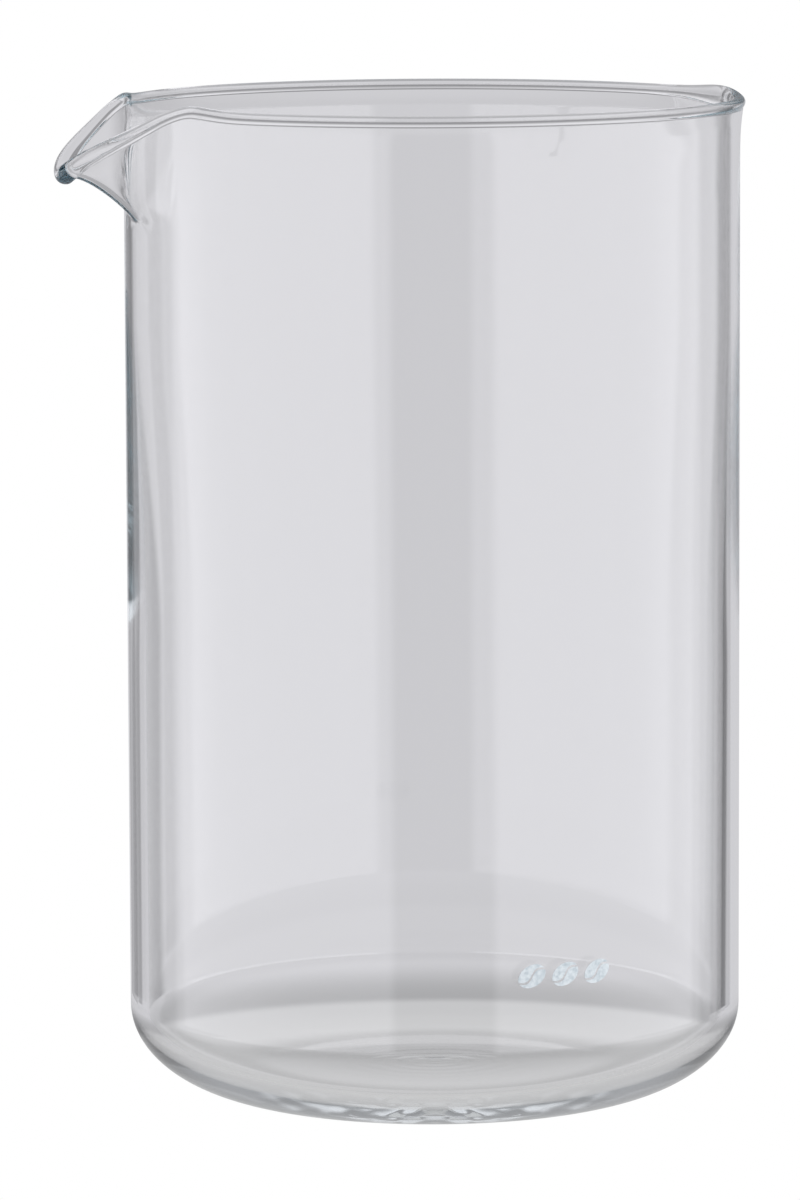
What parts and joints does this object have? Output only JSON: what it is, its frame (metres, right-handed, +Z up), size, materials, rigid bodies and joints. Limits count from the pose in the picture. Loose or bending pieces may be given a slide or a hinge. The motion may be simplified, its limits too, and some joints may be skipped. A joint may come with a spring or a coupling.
{
  "type": "press pot glass beaker",
  "caption": "Clear glass beaker of a coffee press pot: straight cylindrical wall, rounded heel, flat base, flared round-edged rim and a pulled pouring spout.",
  "frame": {"origin": "centre of the flat underside, on the vessel's axis, where it stands on a table", "axes": "+Z up the vessel's axis to the rim, -X out along the pouring spout"},
  "size_m": [0.1333, 0.1178, 0.1903],
  "materials": {
    "glass": "clear fire-polished borosilicate glass",
    "enamel": "white fired enamel"
  },
  "bodies": {
    "root": {"glass_beaker": "glass", "enamel_bean_1": "enamel", "enamel_bean_2": "enamel", "enamel_bean_3": "enamel"}
  },
  "joints": []
}
